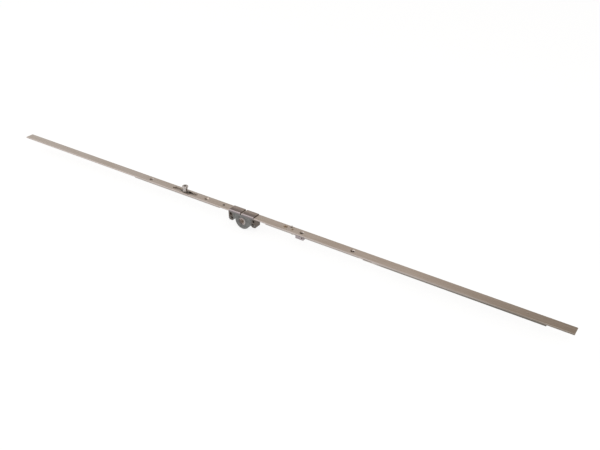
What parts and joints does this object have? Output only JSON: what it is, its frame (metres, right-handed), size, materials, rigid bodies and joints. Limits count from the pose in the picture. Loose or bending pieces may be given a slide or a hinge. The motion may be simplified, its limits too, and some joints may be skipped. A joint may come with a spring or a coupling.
{
  "type": "window espagnolette",
  "caption": "Tilt-and-turn window espagnolette with a centred gearbox, sliding rack rail, mushroom cam and safety lever.",
  "frame": {"origin": "middle of the square spindle socket of the gearbox, at rest in mid stroke", "axes": "+X along the faceplate towards the extension rail, +Z out of the faceplate's outer face, -Y towards the handle"},
  "size_m": [1.09, 0.016, 0.0402],
  "materials": {
    "zinc_plated_steel": "passivated zinc plating, satin",
    "rail_steel": "zinc plating, satin",
    "die_cast_zinc": "as-cast, dark grey",
    "saddle_steel": "pressed sheet, satin",
    "block_zinc": "as-cast, light grey",
    "sintered_steel": "oil-soaked, matt",
    "acetal": "moulded, grey",
    "phosphated_steel": "phosphated and oiled, dark",
    "turned_steel": "turned and zinc plated",
    "bright_rivet": "bright zinc plating",
    "spring_steel": "drawn wire"
  },
  "bodies": {
    "plate_and_case": {"faceplate": "zinc_plated_steel", "gearbox_front_shell": "die_cast_zinc", "gearbox_rear_shell": "die_cast_zinc", "gearbox_rivets": "die_cast_zinc", "saddle_left": "saddle_steel", "saddle_right": "saddle_steel", "pinion_bush_front": "acetal", "pinion_bush_rear": "acetal", "guide_eyelets": "bright_rivet", "guide_washers": "rail_steel", "end_guide_rivet": "zinc_plated_steel", "support_block": "block_zinc", "block_eyelet": "bright_rivet", "lever_rivet": "phosphated_steel", "lever_spring": "spring_steel"},
    "rails": {"drive_rail": "rail_steel", "extension_rail": "rail_steel", "lap_rivets": "bright_rivet", "cam_carrier": "die_cast_zinc", "carrier_rivets": "bright_rivet"},
    "follower": {"pinion": "sintered_steel"},
    "cam": {"cam_pin": "turned_steel"},
    "roller": {"cam_roller": "turned_steel"},
    "lever": {"safety_lever": "phosphated_steel", "sensor_pin": "turned_steel"}
  },
  "joints": [
    {"name": "rail_slide", "type": "slide", "parent": "plate_and_case", "child": "rails", "axis": [1, 0, 0], "range_m": [-0.01799, 0.01799]},
    {"name": "follower_turn", "type": "hinge", "parent": "plate_and_case", "child": "follower", "pos_m": [0, 0, 0], "axis": [0, 1, 0], "range_deg": [-90, 90]},
    {"name": "lever_turn", "type": "hinge", "parent": "plate_and_case", "child": "lever", "pos_m": [0.0979, -0.0004, 0.01125], "axis": [0, 0, 1], "range_deg": [0, 12], "stiffness_Nm_per_rad": 0.02, "springref_deg": -17.19},
    {"name": "cam_adjust", "type": "hinge", "parent": "rails", "child": "cam", "pos_m": [-0.129, 0, 0.014], "axis": [0, 0, 1], "range_deg": [-90, 90]},
    {"name": "roller_spin", "type": "hinge", "parent": "cam", "child": "roller", "pos_m": [-0.1282, 0, 0.02], "axis": [0, 0, 1], "continuous": true}
  ],
  "couplings": [
    {"joint": "follower_turn", "follows": "rail_slide", "rad_per_m": 87.268}
  ]
}
